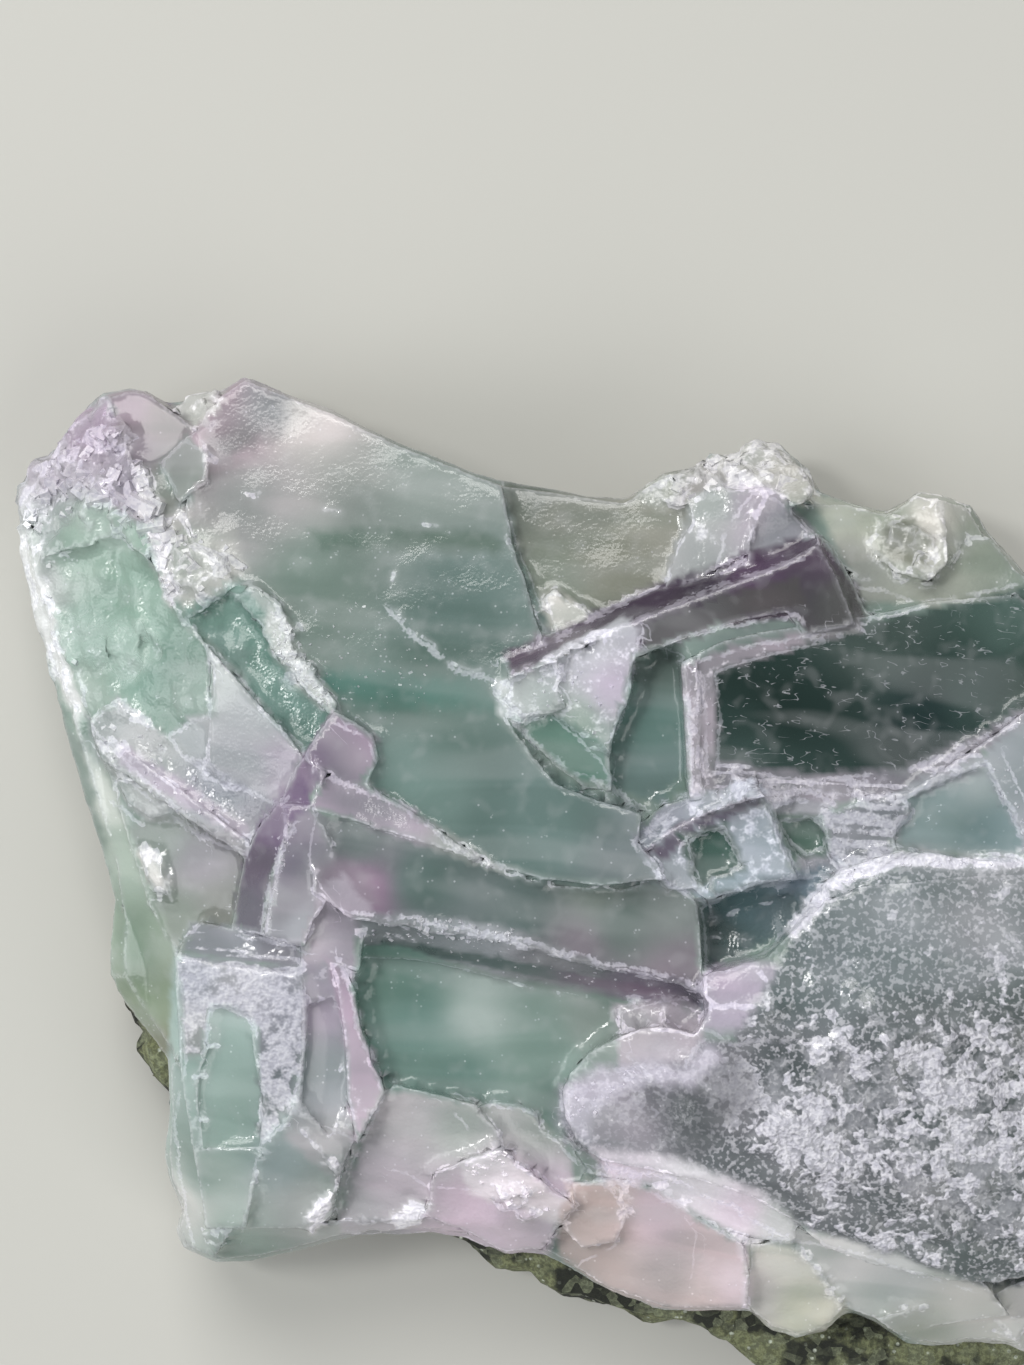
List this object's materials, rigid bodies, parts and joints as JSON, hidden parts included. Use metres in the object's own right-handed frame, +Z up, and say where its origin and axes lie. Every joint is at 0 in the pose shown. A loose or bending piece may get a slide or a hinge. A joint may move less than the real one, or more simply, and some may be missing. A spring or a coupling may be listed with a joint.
{
  "type": "fluorite specimen",
  "caption": "Hand-sized cluster of interlocking, stepped green and violet fluorite cubes, lying face up on a slab of dark matrix rock.",
  "frame": {"origin": "middle of the bounding box at the underside that it lies on", "axes": "+Z up, out of the crystal face; +Y towards the top of the picture and +X towards its right"},
  "size_m": [0.1194, 0.1086, 0.0326],
  "materials": {
    "fluorite": "translucent crystal, zoned green and violet, part polished and part etched",
    "matrix_rock": "rough dark green-black rock"
  },
  "bodies": {
    "root": {"fluorite": "fluorite", "matrix_rock": "matrix_rock"}
  },
  "joints": []
}
